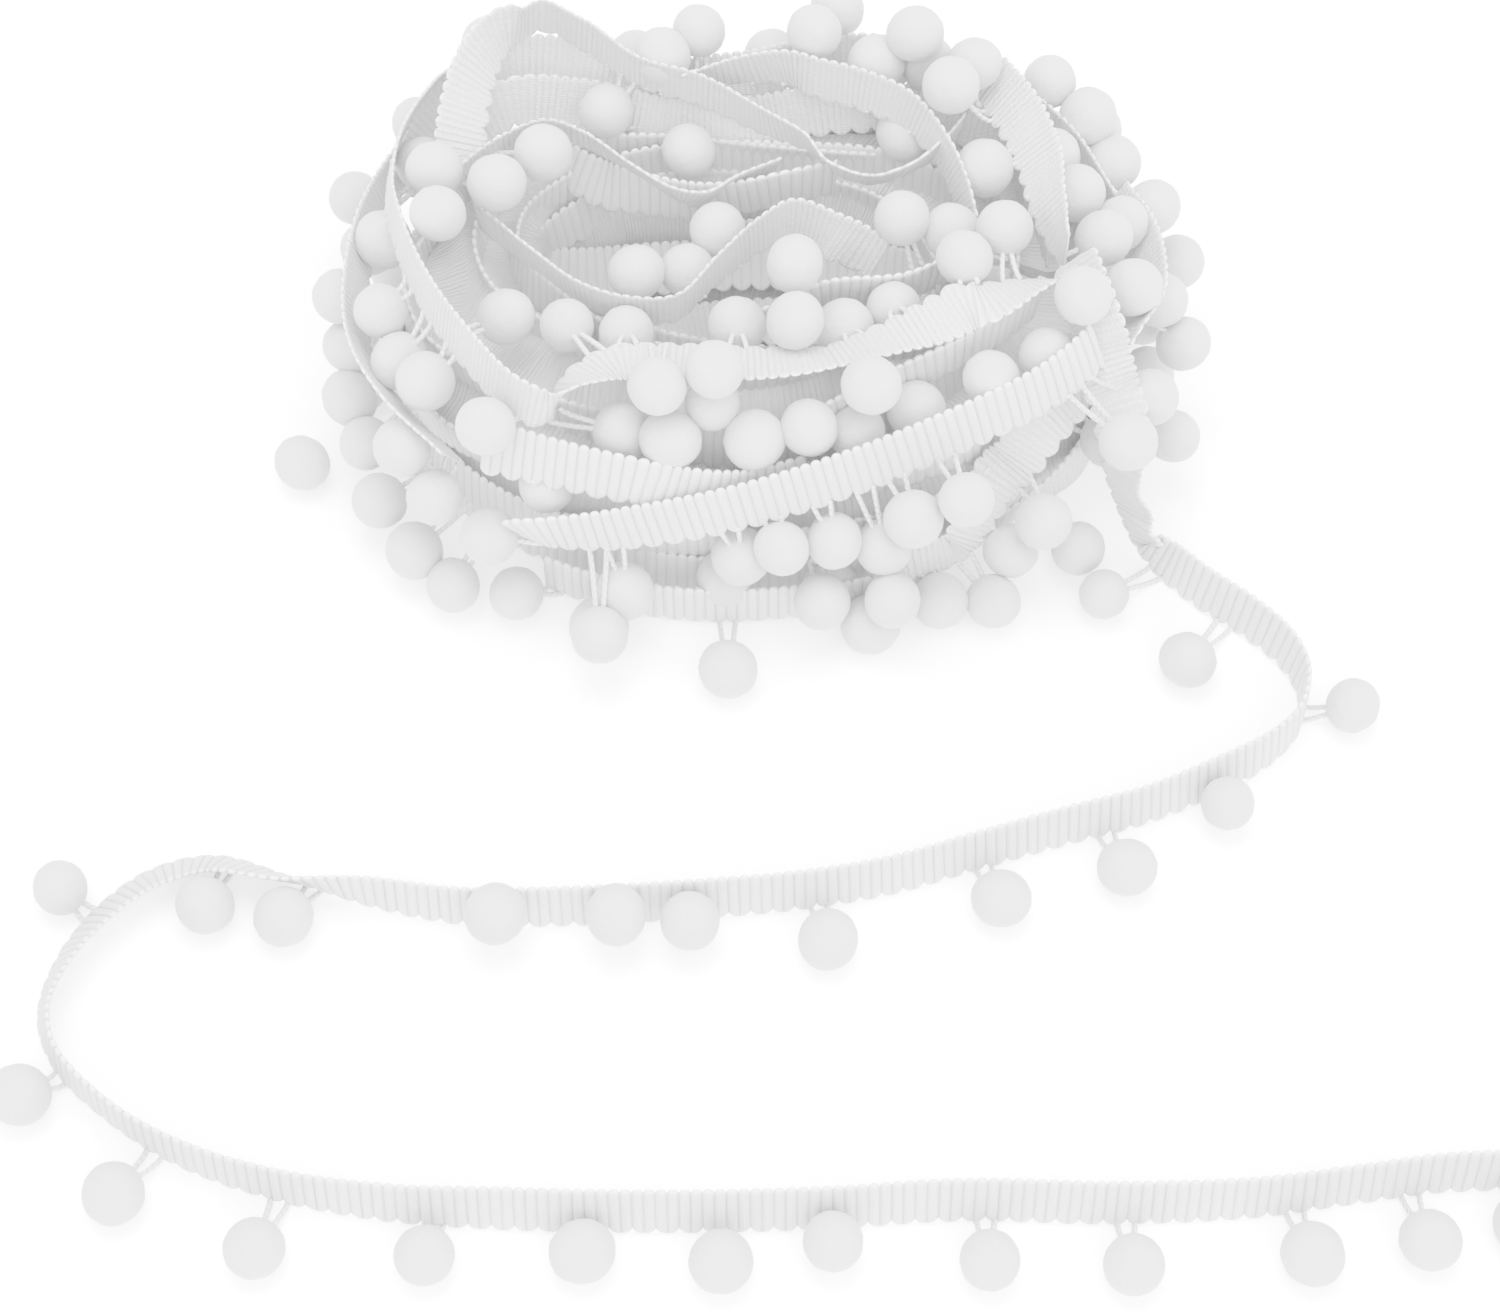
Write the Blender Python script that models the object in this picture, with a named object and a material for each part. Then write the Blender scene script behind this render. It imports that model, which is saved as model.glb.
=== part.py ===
"""Pompom fringe trim, loosely wound into a heap, with one loose end laid out in an S.

The trim is one ribbon with a row of small round pompoms, each on a short loop of yarn along one edge.
All tables are in millimetres, on a floor at z = 0. The ribbon stands or leans on its fringed edge:
a lean of 0 stands upright, and a positive lean tips its top edge to the left of the way it runs.
"""
import math

import bmesh
import bpy
import numpy as np
from mathutils import Matrix, Vector

MM = 0.001
RIBBON_WIDTH = 10.0
RIBBON_THICKNESS = 1.2
POMPOM_DIAMETER = 10.5
POMPOM_SPREAD = 0.04          # how much the pompoms differ from each other
POMPOM_PITCH = 24.0
YARN_WIDTH = 1.2
LOOP_SPREAD = 1.2             # half the distance between a loop's two yarns at the ribbon
HEAP_STEP = 8.2               # length of one ribbon section in the heap
TAIL_STEP = 4.5
NEAR_HEAP = 80.0              # the length of the loose end that passes over and beside the heap
GAP = 0.4                     # clearance between the heap and the loose end
PLACE = (-16.0, 2.8)          # moves the tables' zero to the middle of the whole trim
SEED = 24

# The oval of the heap: middle x, middle y, half length, half depth
OUTER_OVAL = (1.0, 60.5, 71.0, 47.5)
INNER_OVAL = (-2.0, 71.0, 36.0, 17.0)
OVAL_FULLNESS = 0.9           # 1 is a plain ellipse, and less fills its corners

# Section of the heap, from the hole's foot over the top to the outside: share of the way out, height
HEAP_SECTION = (
    (0.04, 0.0), (0.00, 5.0), (0.04, 10.0), (0.02, 16.0), (0.08, 21.0), (0.08, 28.0), (0.20, 33.0),
    (0.38, 36.0), (0.52, 34.0), (0.64, 34.0), (0.74, 29.0), (0.86, 27.0), (0.86, 20.0),
    (0.95, 18.0), (0.93, 11.0), (0.99, 8.0), (0.97, 0.0))
HEAP_STEPS = 32
HEAP_WAVE = 1.3               # how far the turns swell in and out around the heap

# The turns wound inside the heap: height of the fringed edge, share of the way out
TURNS = (
    (0.5, 0.95), (10.0, 0.93), (19.5, 0.86), (27.0, 0.72), (27.5, 0.36), (19.5, 0.42), (10.0, 0.50),
    (0.5, 0.50), (0.5, 0.08), (10.0, 0.06), (19.5, 0.10), (27.0, 0.20))
TURN_ROWS = 20                # rows in one turn
TURN_WAVE = 1.4

# The loose end: x, y, height of the fringed edge, lean
TAIL_ROWS = (
    (54.5, 52, 47, 40), (57, 40, 44.5, 62), (58.5, 36.5, 40, 75), (60, 33.5, 36, 70), (62, 31.5, 30, 45),
    (65.5, 27.5, 18, -15), (68.5, 26, 10, -25), (72, 23.5, 2.5, -5), (76, 18, 0.6, 11), (83, 10.5, 0.6, 14),
    (90.5, 4.5, 0.6, 13), (96.5, -1.5, 0.6, 10), (99.5, -7, 0.6, 5), (100, -12, 0.6, 0),
    (98.5, -17.5, 0.6, -4), (93, -23.5, 0.6, -8), (84, -29, 0.6, -12), (71, -35, 0.6, -12),
    (56, -39.5, 0.6, -12), (40, -44.5, 0.6, -12), (24, -49.5, 0.6, -12), (7, -52.5, 0.6, -12),
    (-12, -54.2, 0.6, -12), (-32, -55.4, 0.6, -12), (-50, -55.2, 0.6, -10), (-66, -51.8, 0.6, -2),
    (-80, -46.5, 0.6, 28), (-94, -42, 0.6, 42), (-105, -44.5, 0.6, 46), (-113, -51, 0.6, 44),
    (-119.5, -61.5, 0.6, 36), (-121.5, -73, 0.6, 23), (-117.5, -82.5, 0.6, 9), (-107, -92.3, 0.6, 3),
    (-94, -100.3, 0.6, 5), (-78, -106, 0.6, 8), (-60, -109.5, 0.6, 13), (-40, -111, 0.6, 18),
    (-15, -111.5, 0.6, 18), (10, -111, 0.6, 18), (35, -109.5, 0.6, 18), (60, -110, 0.6, 18),
    (82, -109, 0.6, 16), (100, -106.5, 0.6, 15), (115, -104.5, 0.6, 15), (135, -104.5, 0.6, 16),
    (158, -108, 0.6, 20))

# Its pompoms: x, y, height of the middle, diameter
TAIL_POMPOMS = (
    (65.3, 10.3, 5.3, 9.4), (79.6, -4, 5.3, 10.5), (108.6, -13.7, 5.3, 9.9), (84.1, -34.5, 6.5, 9.5),
    (65.7, -46.6, 5.3, 10.3), (43.5, -52.7, 5.4, 10.5), (13.4, -60.6, 5.4, 10.6), (-10.3, -58.4, 8, 10.7),
    (-22.9, -58, 9.5, 10.6), (-43.6, -57.8, 9.5, 10.6), (-80.5, -56.2, 5.3, 10.4), (-94.2, -54, 5.3, 10.2),
    (-119.7, -50.6, 5.3, 9.7), (-121.7, -89.4, 5.4, 10.6), (-104, -106.8, 5.4, 10.5), (-80.2, -116.1, 5.3, 10),
    (-52.6, -117.3, 5.3, 10.1), (-27.1, -116.7, 5.4, 10.7), (-4.7, -118.4, 5.4, 10.6), (13.4, -115.4, 6.5, 10.3),
    (38.7, -118.1, 5.3, 10.2), (61.9, -118.9, 5.4, 10.5), (90.9, -117.1, 5.4, 10.4), (110.2, -114.7, 5.3, 10.2),
    (126, -112, 5.3, 10.4), (150.6, -115.7, 5.3, 10.4))

# The heap's upper turns: the line that the rows follow, then x, y, height, lean
UPPER_TURNS = {
    "tall_loop": ("foot", (
        (-49.5, 76.5, 41.5, 64), (-49, 86.5, 46, 60), (-48, 95, 48, 46), (-46.5, 103, 47.5, 22),
        (-44.5, 108, 46.5, -6), (-39.5, 111.5, 46.5, -8), (-31, 107.5, 45, -5), (-20.5, 100.5, 43, -8),
        (-9, 96.5, 42, -6), (2.5, 90.5, 41, -12), (11.5, 86, 41, -22), (16.5, 82, 39.5, -30),
        (22.5, 80.5, 38.5, -32), (28, 81.5, 39.5, -30), (32.5, 84, 39.5, -20), (38.5, 89.5, 38, -5))),
    "outer_loop": ("middle", (
        (-50, 106, 40, 20), (-58, 102, 43, 24), (-62.5, 93, 45.5, 22), (-65.5, 82, 47, 16), (-66, 70, 47.5, 12),
        (-63.5, 59.5, 49, 11), (-61, 52.5, 49, 11), (-56, 42.5, 49, 11), (-49, 32, 49, 11), (-42.5, 24, 49, 11),
        (-38, 21, 48.5, 10), (-35, 21, 48, -5), (-31, 26, 49, -50), (-23.5, 31, 48, -75), (-16, 31.5, 48, -75),
        (-0.5, 31, 48, -72), (9, 31.5, 48, -65), (14.5, 32.5, 48, -60), (26.5, 37, 48.5, -75),
        (33.5, 40, 49, -92), (38.5, 42.5, 49.5, -98), (41.5, 43, 50, -85), (48, 46, 50, -60),
        (53.5, 48, 50, -40))),
    "back_wave": ("top", (
        (-60, 68, 44, 10), (-53, 77, 48, 0), (-46, 83, 49, -5), (-38, 87, 49, -10), (-31, 85, 48, -15),
        (-22, 78, 47, -25), (-14, 73, 46, -28), (-8, 73, 45, -28), (-2, 78, 44, -25), (6, 83, 43, -20))),
    "inner_wave": ("top", (
        (-52, 80, 44, -8), (-51, 71, 46, -8), (-45, 64, 46, -10), (-39, 58, 46, -10), (-31, 51, 46, -10),
        (-22, 47.5, 46, -10), (-13, 48, 46, -10), (-6, 56, 47, -5), (1, 63.5, 48, 0), (8, 68.5, 48, 8),
        (16, 66, 47, 15), (22, 65, 44, 20), (25.5, 62, 43, 20))),
    "inner_back": ("foot", (
        (-39.5, 91, 33, 10), (-34, 84, 32, 20), (-28, 81, 31, 20), (-20, 79.5, 31, 8),
        (-10.5, 78.5, 31, 0), (-1.5, 79, 32, -5), (7, 80.5, 33, -5), (16, 83, 33, -5))),
    "back_top": ("top", (
        (-13, 96, 51, -28), (-2, 99, 53, -12), (7, 98.5, 55, -3), (13, 96.5, 55, 5), (21.5, 93.5, 55, 6),
        (30, 89, 54, 5), (36.5, 80.5, 51.5, 5), (40, 72.5, 48.5, 5), (42, 65, 44.5, 5))),
    "right_over": ("middle", (
        (44.5, 98, 48.5, 45), (49.5, 87.5, 50, 52), (53, 76, 50, 46), (54, 66.5, 50, 32),
        (55.5, 60, 49, 15), (57, 55, 49, 0))),
    "front_long": ("middle", (
        (-42, 12, 23.5, -25), (-37, 10, 25.5, -8), (-24, 9, 28, 8), (-3, 10, 33, 15), (18, 15, 37, 17),
        (38, 22, 41, 18), (50, 27.5, 43, 20),
        (57, 32.5, 44, 22), (62, 37.5, 44.5, 24))),
    "front_left": ("foot", (
        (-48, 17, 34.5, 35), (-35, 14, 34, 22), (-22.5, 11.5, 33, 18), (-12.5, 11, 30.5, 15),
        (-2, 12.5, 28, 12), (9.5, 17, 26.5, 10))),
    "front_foot": ("foot", (
        (-38, 15, 0.5, 0), (-28, 11, 0.5, 0), (-17, 8.5, 0.5, 0), (-5, 7.5, 0.5, 0), (9, 8.5, 0.5, 0),
        (18, 9.5, 0.5, 0), (32, 14, 0.5, 0))),
    "right_low": ("foot", (
        (23.5, 11, 5, 5), (29.5, 12, 7, 5), (39.5, 15.5, 9, 5), (44, 18.5, 13.5, 18), (48.5, 22, 19.5, 38),
        (52, 23.5, 24, 45), (56, 27, 28.5, 43), (61, 32.5, 31, 36))),
    "middle_edge": ("top", (
        (2, 47.5, 42, -10), (13, 51.5, 45, -10), (28, 53.5, 45, -10), (36, 57.5, 45, -10), (42, 61.5, 44, -10))),
    "under_front": ("middle", (
        (14, 26.5, 38, -5), (26, 32, 41, -5), (38, 37.5, 43, -5), (48, 45, 43, -5), (52, 49.5, 42.5, -5))),
    "right_back": ("middle", (
        (68, 80, 34, 40), (72, 70, 36, 35), (73, 60, 38, 35), (72, 52, 39, 38), (68, 45, 39, 38), (64, 39, 35, 35))),
}

# The heap's pompoms that show, by region: x, y, height of the middle
HEAP_POMPOMS = {
    "front": (
        (-16, 23, 52), (-6, 25, 53), (8, 50, 52), (8, 38, 50), (21, 25, 50), (17, 43.5, 42), (-12, 18, 42),
        (-8, 23, 44), (-22, 25, 38), (2, 19, 40), (10, 22, 42), (18, 27, 38), (29, 30, 38), (44, 28, 46)),
    "inner": (
        (-46, 69, 52), (-44, 46, 42), (-33, 44, 42), (-20, 58, 40), (-12, 60, 38), (-6, 68, 40),
        (-38, 78, 50), (-56, 60, 54), (-57, 73, 50), (-26, 95.5, 38), (-11, 91.5, 38), (-49.5, 109.5, 44)),
    "back": (
        (-14, 100.5, 48), (-11, 106, 48), (12.5, 104.5, 54), (16, 109.5, 50), (30.5, 100.5, 54),
        (26, 100.5, 50), (33, 101, 50), (37, 89, 56), (42.5, 98, 50), (28, 92, 38), (51.5, 97.5, 40)),
    "right": (
        (44, 78, 46), (27, 63, 44), (38, 62, 44), (46, 60, 50), (39, 50, 50), (65, 63, 44), (59, 42, 53),
        (61, 91, 42), (65.5, 96.5, 36), (74, 77.5, 36), (65.5, 87, 38), (67, 21, 38), (82, 77, 20),
        (81, 54, 24), (79, 40, 14), (76, 58, 32), (73, 37, 30)),
    "low_right": (
        (38, 10, 36), (29, 10, 30), (53, 15, 22), (46, 15, 10), (61, 20, 6), (35, 9, 6), (45, 10, 6),
        (23, 11, 18), (24.5, 3.5, 11), (23, 3.5, 5.3), (14.5, 10.5, 5.3), (13, 5, 12)),
    "low_front": (
        (-4, -6, 5.3), (-1, 9, 20), (7, 8, 26), (15, 9, 24), (-27, -2.5, 12), (-27.5, 3, 5.3),
        (-22, 7, 12), (-43, 10, 6), (-55, 12, 6), (-62, 18, 8), (-46, 12, 22), (-57, 19, 24), (-69, 28, 10)),
    "left": (
        (-47, 26, 36), (-64, 40, 36), (-67, 49, 40), (-73, 60, 30), (-77, 93, 20), (-73, 77, 24),
        (-85, 40, 5.3), (-75, 47, 16), (-72, 39, 14), (-62, 27, 30), (-75, 55.5, 22)),
}


def clear_scene():
    for item in list(bpy.data.objects):
        bpy.data.objects.remove(item, do_unlink=True)


def cloth_material(name, colour, roughness):
    material = bpy.data.materials.new(name)
    material.use_nodes = True
    shader = material.node_tree.nodes["Principled BSDF"]
    shader.inputs["Base Color"].default_value = (*colour, 1.0)
    shader.inputs["Roughness"].default_value = roughness
    shader.inputs["Metallic"].default_value = 0.0
    return material


def unit(vectors):
    return vectors / np.linalg.norm(vectors, axis=-1, keepdims=True)


def smooth_rows(rows, step):
    """Even distances along a smooth curve through the rows, and the rows' values there."""
    rows = np.array(rows, float)
    chord = np.linalg.norm(np.diff(rows[:, :3], axis=0), axis=1) ** 0.5
    knot = np.concatenate([[0.0], np.cumsum(chord)])
    slope = np.gradient(rows, knot, axis=0)
    fine = np.linspace(0.0, knot[-1], 40 * len(rows))
    i = np.clip(np.searchsorted(knot, fine, side="right") - 1, 0, len(knot) - 2)
    span = (knot[i + 1] - knot[i])[:, None]
    t = (fine - knot[i])[:, None] / span
    curve = ((2 * t**3 - 3 * t**2 + 1) * rows[i] + (t**3 - 2 * t**2 + t) * span * slope[i]
             + (3 * t**2 - 2 * t**3) * rows[i + 1] + (t**3 - t**2) * span * slope[i + 1])
    length = np.linalg.norm(np.diff(curve[:, :3], axis=0), axis=1)
    distance = np.concatenate([[0.0], np.cumsum(length)])
    count = max(2, int(round(distance[-1] / step)) + 1)
    along = np.linspace(0.0, distance[-1], count)
    return along, np.stack([np.interp(along, distance, curve[:, k]) for k in range(4)], axis=1)


def lay_ribbon(line, rows, step):
    """Distances, fringed edge, top edge, right-hand direction and run of a ribbon laid through rows."""
    along, spots = smooth_rows(rows, step)
    run = unit(np.gradient(spots[:, :3], along, axis=0))
    left = unit(np.cross([0.0, 0.0, 1.0], run))
    lift = np.cross(run, left)
    lean = np.radians(spots[:, 3])[:, None]
    rise = left * np.sin(lean) + lift * np.cos(lean)
    below = {"foot": 0.0, "middle": 0.5, "top": 1.0}[line] * RIBBON_WIDTH
    foot = spots[:, :3] - rise * below
    return along, foot, foot + rise * RIBBON_WIDTH, -left, run


def ring_spot(angle, share):
    """A place in plan: share 0 lies on the hole's oval, and share 1 on the heap's outer oval."""
    spot = []
    for k, turn in enumerate((math.cos(angle), math.sin(angle))):
        turn = math.copysign(abs(turn) ** OVAL_FULLNESS, turn)
        inside = INNER_OVAL[k] + INNER_OVAL[k + 2] * turn
        outside = OUTER_OVAL[k] + OUTER_OVAL[k + 2] * turn
        spot.append(inside + share * (outside - inside))
    return spot


def wound_rows():
    """Rows of the turns inside the heap, as one winding that passes from turn to turn."""
    rows = []
    for turn, (height, share) in enumerate(TURNS):
        following = TURNS[(turn + 1) % len(TURNS)]
        for k in range(TURN_ROWS):
            angle = 2 * math.pi * k / TURN_ROWS
            blend = max(0.0, 4.0 * k / TURN_ROWS - 3.0) if turn < len(TURNS) - 1 else 0.0
            x, y = ring_spot(angle, share + blend * (following[1] - share))
            sway = TURN_WAVE * math.sin(3 * angle + 1.7 * turn) + 0.6 * math.sin(5 * angle + turn)
            level = height + blend * (following[0] - height)
            dip = 0.0 if height < 1.0 else 0.9 * math.sin(2 * angle + 2.3 * turn)
            lean = 12.0 * math.sin(2 * angle + 1.3 * turn)
            rows.append((x + sway * math.cos(angle), y + sway * math.sin(angle), level + dip, lean))
    return rows


def heap_pompoms(edges):
    """Middles of the heap's pompoms: the ones placed by hand, then one a pitch on the outer turns."""
    spots = [Vector(spot) for rows in HEAP_POMPOMS.values() for spot in rows]
    along, foot, _, right, _ = edges
    turn_length = along[-1] / len(TURNS)
    for k in range(int(along[-1] / POMPOM_PITCH)):
        i = min(int(k * POMPOM_PITCH / (along[1] - along[0])), len(along) - 1)
        turn = min(int(along[i] / turn_length), len(TURNS) - 1)
        if TURNS[turn][1] < 0.8:
            continue
        spot = Vector(foot[i] + right[i] * 7.0)
        spot.z = max(foot[i][2] + 1.0, POMPOM_DIAMETER / 2)
        if min((spot - other).length for other in spots) > 0.9 * POMPOM_DIAMETER:
            spots.append(spot)
    return spots


def tail_pompoms(edges):
    """The loose end's pompoms: middle, diameter, and the place and run of the edge where the loop starts."""
    _, foot, _, _, run = edges
    found = []
    for x, y, height, diameter in TAIL_POMPOMS:
        i = int(np.argmin(np.linalg.norm(foot - [x, y, height], axis=1)))
        found.append((Vector((x, y, height)), diameter, Vector(foot[i]), Vector(run[i])))
    return found


def add_strip(mesh, foot, top, grow=0.0):
    """A ribbon as a strip of four-sided sections, closed at both ends."""
    rise = unit(top - foot)
    run = unit(np.gradient(foot, axis=0))
    face = unit(np.cross(run, rise)) * (RIBBON_THICKNESS / 2 + grow)
    low, high = foot - rise * grow, top + rise * grow
    sections = [[mesh.verts.new(spot * MM) for spot in (low[k] - face[k], high[k] - face[k],
                                                        high[k] + face[k], low[k] + face[k])]
                for k in range(len(foot))]
    for first, second in zip(sections, sections[1:]):
        for k in range(4):
            mesh.faces.new((first[k - 1], first[k], second[k], second[k - 1]))
    mesh.faces.new(sections[0])
    mesh.faces.new(sections[-1][::-1])


def add_ball(mesh, middle, diameter, turn):
    place = Matrix.Translation(middle * MM) @ Matrix.Rotation(turn, 4, Vector((0.3, 0.5, 0.8)))
    bmesh.ops.create_uvsphere(mesh, u_segments=7, v_segments=5, radius=diameter / 2 * MM, matrix=place)


def add_yarn(mesh, start, end, grow=0.0):
    """One yarn of a loop, as a thin three-sided bar."""
    way = end - start
    place = (Matrix.Translation((start + end) / 2 * MM)
             @ way.to_track_quat("Z", "Y").to_matrix().to_4x4())
    width = (YARN_WIDTH + 2 * grow) * MM
    bmesh.ops.create_cone(mesh, cap_ends=True, segments=3, radius1=width / 2, radius2=width / 2,
                          depth=way.length * MM, matrix=place)


def add_heap_body(mesh):
    """The wound body under the upper turns: a lumpy oval ring around an open hole."""
    rings = []
    for step in range(HEAP_STEPS):
        angle = 2 * math.pi * step / HEAP_STEPS
        ring = []
        for row, (share, height) in enumerate(HEAP_SECTION):
            x, y = ring_spot(angle, share)
            swell = HEAP_WAVE * math.sin(4 * angle + 1.1 * row) if height > 0 else 0.0
            out = 1.0 if share > 0.4 else -1.0
            drop = 1.0 - 0.14 * max(0.0, -math.sin(angle)) * (1.0 if share > 0.45 else 0.0)
            ring.append(mesh.verts.new(Vector((x + out * swell * math.cos(angle),
                                               y + out * swell * math.sin(angle), height * drop)) * MM))
        rings.append(ring)
    for step in range(HEAP_STEPS):
        first, second = rings[step - 1], rings[step]
        for row in range(len(HEAP_SECTION)):
            mesh.faces.new((first[row - 1], second[row - 1], second[row], first[row]))


def new_object(name, mesh, collection):
    """An object from a bmesh, moved to the trim's place, with its faces pointing out."""
    bmesh.ops.recalc_face_normals(mesh, faces=mesh.faces)
    bmesh.ops.translate(mesh, verts=mesh.verts, vec=Vector((*PLACE, 0.0)) * MM)
    data = bpy.data.meshes.new(name)
    mesh.to_mesh(data)
    mesh.free()
    item = bpy.data.objects.new(name, data)
    collection.objects.link(item)
    return item


def combine(item, other, operation):
    """Apply a Boolean of item with other, which is then removed."""
    change = item.modifiers.new(operation.lower(), "BOOLEAN")
    change.operation = operation
    change.solver = "MANIFOLD"
    change.object = other
    bpy.context.view_layer.update()
    evaluated = item.evaluated_get(bpy.context.evaluated_depsgraph_get())
    old = item.data
    item.data = bpy.data.meshes.new_from_object(evaluated)
    item.modifiers.clear()
    bpy.data.meshes.remove(old)
    bpy.data.objects.remove(other, do_unlink=True)


def keep_outer_shell(item):
    """Drop small pockets and chips that the Booleans leave, and keep the one outer shell."""
    mesh = bmesh.new()
    mesh.from_mesh(item.data)
    left = set(mesh.faces)
    shells = []
    while left:
        shell, border = set(), [left.pop()]
        while border:
            face = border.pop()
            shell.add(face)
            for edge in face.edges:
                for other in edge.link_faces:
                    if other in left:
                        left.discard(other)
                        border.append(other)
        shells.append(shell)
    shells.sort(key=len)
    for shell in shells[:-1]:
        bmesh.ops.delete(mesh, geom=list(shell), context="FACES")
    bmesh.ops.triangulate(mesh, faces=mesh.faces)
    mesh.to_mesh(item.data)
    mesh.free()


def build_heap(parts, sizes):
    """The wound heap as one solid: body, upper turns and pompoms fused together."""
    wound = lay_ribbon("foot", wound_rows(), 2.0)
    body = bmesh.new()
    add_heap_body(body)
    heap = new_object("coil", body, parts)
    edges = [wound[1]]
    for line, rows in UPPER_TURNS.values():
        _, foot, top, _, _ = lay_ribbon(line, rows, HEAP_STEP)
        turn = bmesh.new()
        add_strip(turn, foot, top)
        combine(heap, new_object("turn", turn, parts), "UNION")
        edges.append(lay_ribbon(line, rows, 2.0)[1])
    edge_spots = np.concatenate(edges)
    for spot in heap_pompoms(wound):
        diameter = POMPOM_DIAMETER * sizes.uniform(1 - POMPOM_SPREAD, 1 + POMPOM_SPREAD)
        spot.z = max(spot.z, diameter / 2)
        ball = bmesh.new()
        add_ball(ball, spot, diameter, sizes.uniform(0, math.pi))
        combine(heap, new_object("pompom", ball, parts), "UNION")
        nearest = Vector(edge_spots[np.argmin(np.linalg.norm(edge_spots - np.array(spot), axis=1))])
        if (nearest - spot).length > 0.4 * POMPOM_DIAMETER:
            yarn = bmesh.new()
            add_yarn(yarn, nearest + Vector((0, 0, 0.6)), spot)
            combine(heap, new_object("yarn", yarn, parts), "UNION")
    return heap


def build_tail(parts, sizes):
    """The loose end as one solid, and the slightly larger pieces that clear its place in the heap."""
    laid = lay_ribbon("foot", TAIL_ROWS, TAIL_STEP)
    strip = bmesh.new()
    add_strip(strip, laid[1], laid[2])
    tail = new_object("tail", strip, parts)
    near_heap = slice(0, int(NEAR_HEAP / TAIL_STEP))
    foot, top = laid[1][near_heap].copy(), laid[2][near_heap].copy()
    foot[0] -= laid[4][0] * GAP
    top[0] -= laid[4][0] * GAP
    around = bmesh.new()
    add_strip(around, foot, top, GAP)
    clearance = [new_object("clearance", around, parts)]
    for middle, diameter, start, run in tail_pompoms(lay_ribbon("foot", TAIL_ROWS, 1.0)):
        turn = sizes.uniform(0, math.pi)
        middle.z = max(middle.z, diameter / 2)
        yarns = [(start + run * LOOP_SPREAD * side + Vector((0, 0, 1.0)), middle + run * 0.4 * side)
                 for side in (-1, 1)]
        grows = (0.0, GAP) if len(clearance) < 7 else (0.0,)
        for grow in grows:
            ball = bmesh.new()
            add_ball(ball, middle, diameter + 2 * grow, turn)
            pieces = [ball]
            for yarn_start, yarn_end in yarns:
                yarn = bmesh.new()
                add_yarn(yarn, yarn_start, yarn_end, grow)
                pieces.append(yarn)
            items = [new_object("fringe", piece, parts) for piece in pieces]
            if grow:
                clearance += items
            else:
                for item in items:
                    combine(tail, item, "UNION")
    return tail, clearance


def main():
    clear_scene()
    parts = bpy.data.collections.new("pompom_fringe_trim")
    bpy.context.scene.collection.children.link(parts)
    sizes = np.random.default_rng(SEED)
    heap = build_heap(parts, sizes)
    tail, clearance = build_tail(parts, sizes)
    for item in clearance:
        combine(heap, item, "DIFFERENCE")
    for item, name in ((heap, "wound_trim"), (tail, "loose_trim")):
        keep_outer_shell(item)
        item.data.materials.clear()
        item.data.materials.append(cloth_material(name, (0.91, 0.91, 0.91), 0.9))


main()
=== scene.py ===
"""Pompom fringe trim, loosely wound into a heap, with one loose end laid out in an S.

The trim is one white ribbon, ribbed across and scalloped on both edges, with a row of small round
pompoms, each on a short loop of two yarns along the ribbon's fringed edge.
All tables are in millimetres. The ribbon stands or leans on its fringed edge: a lean of 0 stands
upright, and a positive lean tips its top edge to the left of the way it runs.
"""
import math

import bpy
import numpy as np
from mathutils import Matrix, Vector


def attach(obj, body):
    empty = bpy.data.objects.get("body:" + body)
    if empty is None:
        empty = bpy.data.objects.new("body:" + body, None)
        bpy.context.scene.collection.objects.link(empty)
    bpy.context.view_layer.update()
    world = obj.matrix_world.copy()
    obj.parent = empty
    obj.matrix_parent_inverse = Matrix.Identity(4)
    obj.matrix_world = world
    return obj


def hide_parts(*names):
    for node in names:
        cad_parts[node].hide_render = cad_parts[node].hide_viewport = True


bl_info = {
    "name": "Pompom Fringe Trim",
    "version": (1, 0, 0),
    "blender": (4, 5, 0),
    "location": "View3D > Sidebar > Trim",
    "description": "Builds a heap of ribbed pompom trim with a loose end",
    "category": "Add Mesh",
}

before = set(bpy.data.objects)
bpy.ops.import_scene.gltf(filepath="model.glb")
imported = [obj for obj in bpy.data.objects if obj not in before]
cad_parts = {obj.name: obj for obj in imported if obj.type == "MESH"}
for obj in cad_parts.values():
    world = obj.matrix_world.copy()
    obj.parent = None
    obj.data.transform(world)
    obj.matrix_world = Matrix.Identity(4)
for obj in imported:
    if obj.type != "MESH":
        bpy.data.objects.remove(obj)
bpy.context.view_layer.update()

MM = 0.001
RIBBON_WIDTH = 10.0
CAD_POMPOM_DIAMETER = 10.5    # the size that the tables were made for
POMPOM_PITCH = 24.0
POMPOM_SPREAD = 0.04          # how much the pompoms differ from each other
POMPOM_CROWDING = 0.94        # how close two middles may come, as a share of the diameter
SETTLE_ROUNDS = 14
SETTLE_REACH = 3.5            # how far a pompom may move from its place in the tables
LONGEST_LOOSE_LOOP = 16.0
LONGEST_HEAP_LOOP = 17.0
PLACE = (-16.0, 2.8)          # moves the tables' zero to the middle of the whole trim
SEED = 24

# The camera that the tables were read with
CAMERA_TILT = 58.0            # degrees below level
CAMERA_HEIGHT = 458.7
CAMERA_BACK = 286.6
CAMERA_LENS = 70.485

# The studio: lamps by name, place in metres, size in metres and power in watts, then the rest of its light
LAMPS = (("overhead", (-0.06, 0.14, 1.1), 0.6, 2.9), ("fill", (0.25, -0.8, 0.8), 1.0, 2.5))
SKY_STRENGTH = 0.66
FLOOR_SHADE = 0.93
FLOOR_GLOW = 0.2
VIEW_GAMMA = 3.4

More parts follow.
